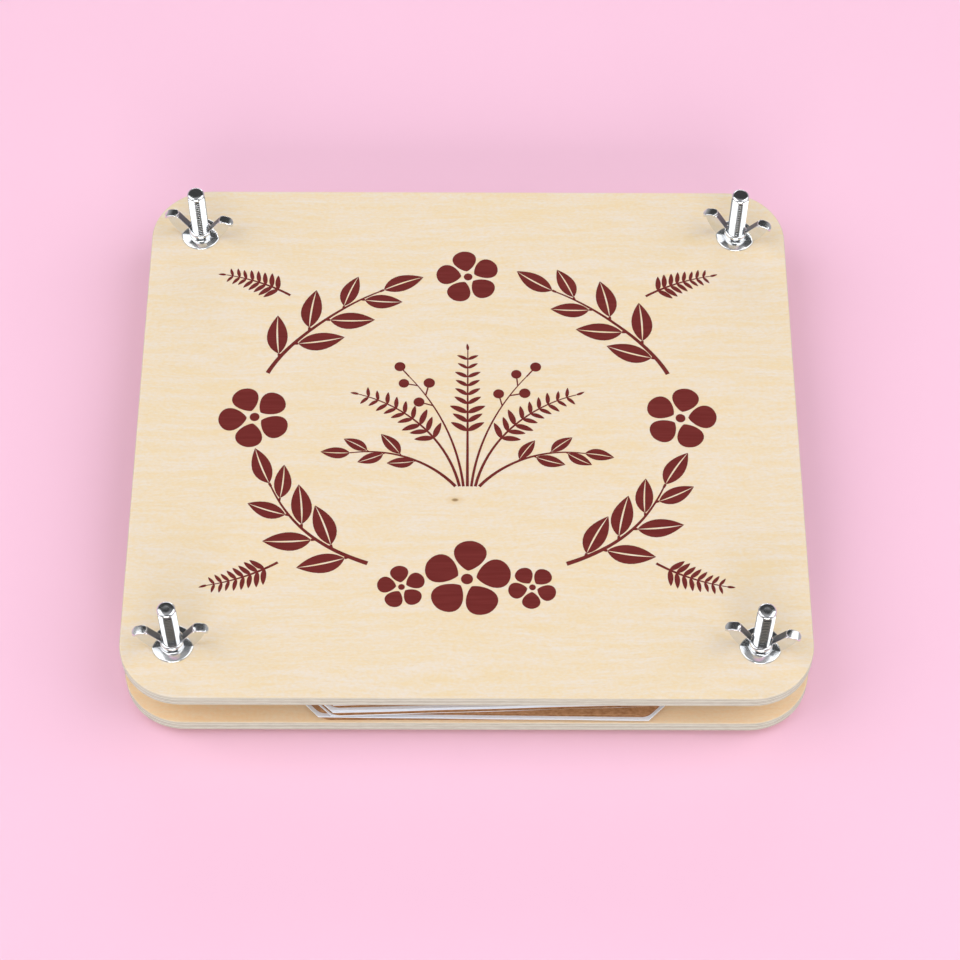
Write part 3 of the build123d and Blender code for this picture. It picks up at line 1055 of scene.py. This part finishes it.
# Printed wreath: sprigs of laurel, fern and berries, each stem a layer higher, with blossoms between them
blade_tree = printed_blade_tree()
sprig_tree = printed_sprig_tree(blade_tree)
blossom_tree = printed_blossom_tree(blade_tree)
film = (INK_FILM + INK_SUNK) * MM
laurel_leaf = dict(blade_length=15.5, blade_width=7.0, rib=0.6, fullness=0.85, tip=1.0, bend=1.6, stalk=1.6)
fern_leaf = dict(blade_length=8.0, blade_width=2.6, rib=0.0, fullness=0.8, tip=0.8, bend=-0.8, stalk=0.3)
berry = dict(blade_length=4.0, blade_width=4.0, rib=0.0, fullness=1.0, tip=0.5, bend=0.0, stalk=3.4)
lengths = ("blade_length", "blade_width", "rib", "bend", "stalk", "stem_width")
layer = 0
for name, lines, blade, sizes in (
    (
        "print_laurel",
        [wreath_arm(side, start, end) for side in SIDES for start, end in ((-63, -24), (20, 65))],
        laurel_leaf,
        dict(seed=3, count=8, bare=0, splay=42, paired=False, base_scale=1.0, end_scale=0.85, stem_width=1.5),
    ),
    (
        "print_corner_ferns",
        [
            curved_stem(
                WREATH_CENTRE + Vector((x * 61, y * 53)),
                heading=90 - x * (90 - y * 32),
                length=24,
                curl=-x * y * 22,
            )
            for x in SIDES
            for y in SIDES
        ],
        fern_leaf,
        dict(seed=5, count=11, bare=1, splay=54, paired=True, base_scale=0.8, end_scale=0.35, stem_width=0.9),
    ),
    (
        "print_spray_ferns",
        spray_pair(offset=2.6, lean=12, length=52, curl=62)
        + [curved_stem((0, SPRAY_FOOT), heading=90, length=54, curl=0)],
        fern_leaf,
        dict(seed=6, count=16, bare=5, splay=54, paired=True, base_scale=1.1, end_scale=0.4, stem_width=1.0),
    ),
    (
        "print_spray_berries",
        spray_pair(offset=1.3, lean=6, length=48, curl=34),
        berry,
        dict(
            seed=8, count=11, bare=6, splay=46, paired=False, base_scale=1.0, end_scale=0.95, stem_width=0.9
        ),
    ),
    (
        "print_spray_leaves",
        spray_pair(offset=3.9, lean=40, length=38, curl=58),
        laurel_leaf,
        dict(
            seed=4, count=8, bare=2, splay=38, paired=False, base_scale=0.62, end_scale=0.62, stem_width=1.1
        ),
    ),
):
    sizes |= blade
    sizes.update({label: sizes[label] * MM for label in lengths})
    sizes["splay"] = math.radians(sizes["splay"])
    mesh = grown(sprig_tree, stem_lines(name, lines, layer), film=film, finish=ink, **sizes)
    as_piece(name, mesh, ink, "top_board")
    layer += len(lines)
blossoms = [(0, -57, 1.3), (-21, -60, 0.72), (21, -60, 0.72), (0, 63, 1.0)]
blossoms += [(side * 71, 5, 1.1) for side in SIDES]
mesh = grown(
    blossom_tree,
    blossom_points("blossoms", blossoms),
    petals=5,
    petal_length=8.6 * MM,
    petal_width=8.2 * MM,
    eye=2.4 * MM,
    dot=1.5 * MM,
    film=film,
    seed=2,
    finish=ink,
)
as_piece("print_blossoms", mesh, ink, "top_board")

# Camera
heading = Matrix.Rotation(math.radians(CAMERA_HEADING), 4, "Z")
tilt = Matrix.Rotation(math.radians(90 - CAMERA_DIP), 4, "X")
roll = Matrix.Rotation(math.radians(CAMERA_ROLL), 4, "Z")
camera = bpy.data.objects.new("camera", bpy.data.cameras.new("camera"))
camera.data.lens = CAMERA_LENS
camera.data.sensor_width = CAMERA_SENSOR
camera.data.clip_start = CAMERA_CLIP
camera.matrix_world = Matrix.Translation(CAMERA_PLACE) @ heading @ tilt @ roll
scene.collection.objects.link(camera)
scene.camera = camera

# Soft boxes to either side and low fills in front and behind, each aimed at the press
for name, place, width, height, power in (
    ("softbox_left", (-1.47, -0.1, 1.63), 2.2, 2.2, 27.0),
    ("softbox_right", (1.47, -0.1, 1.63), 2.2, 2.2, 27.0),
    ("front_fill", (0, -2.4, 1.12), 2.0, 0.9, 29.5),
    ("back_rim", (0, 2.1, 0.7), 1.6, 0.5, 9.0),
):
    lamp = bpy.data.objects.new(name, bpy.data.lights.new(name, "AREA"))
    lamp.data.shape = "RECTANGLE"
    lamp.data.size = width
    lamp.data.size_y = height
    lamp.data.energy = power
    aim = Vector(place).to_track_quat("Z", "Y").to_matrix().to_4x4()
    lamp.matrix_world = Matrix.Translation(place) @ aim
    scene.collection.objects.link(lamp)

# A studio with light walls and a light ceiling, dark between them
world = bpy.data.worlds.new("studio")
world.use_nodes = True
studio = world.node_tree
direction = add(studio, "ShaderNodeTexCoord", out="Generated")
elevation = add(studio, "ShaderNodeSeparateXYZ", [direction], out="Z")
walls = add(studio, RANGE, {"Value": elevation, "From Max": 0.65, "To Min": 0.6, "To Max": 0.05})
ceiling = add(studio, RANGE, {"Value": elevation, "From Min": 0.86, "From Max": 0.96, "To Max": 0.35})
level = add(studio, MATH, [walls, ceiling], "ADD")
feed(studio, studio.nodes["Background"], {"Color": colour("#ffffff"), "Strength": level})
scene.world = world

# Floor of smooth pink paper, which throws a paler, neutral light back on the press
floor_mesh = bpy.data.meshes.new("floor")
floor_corners = [(x * FLOOR_REACH, y * FLOOR_REACH, 0) for x, y in ((-1, -1), (1, -1), (1, 1), (-1, 1))]
floor_mesh.from_pydata(floor_corners, [], [(0, 1, 2, 3)])
floor = bpy.data.objects.new("floor", floor_mesh)
scene.collection.objects.link(floor)
floor_paint, tree, shader = new_material("pale_paper_floor")[:3]
rays = add(tree, "ShaderNodeLightPath").node.outputs
seen = add(tree, MATH, [rays["Is Camera Ray"], rays["Is Glossy Ray"]], "ADD")
seen = add(tree, MATH, [seen, rays["Is Transmission Ray"]], "MAXIMUM")
shades = {"Factor": seen, "A": colour("#ddd8d4"), "B": colour("#fecce5")}
tone = add(tree, "ShaderNodeMix", shades, data_type="RGBA")
feed(tree, shader, {"Base Color": tone, "Roughness": 0.9})
floor_mesh.materials.append(floor_paint)

scene.view_settings.view_transform = "Standard"
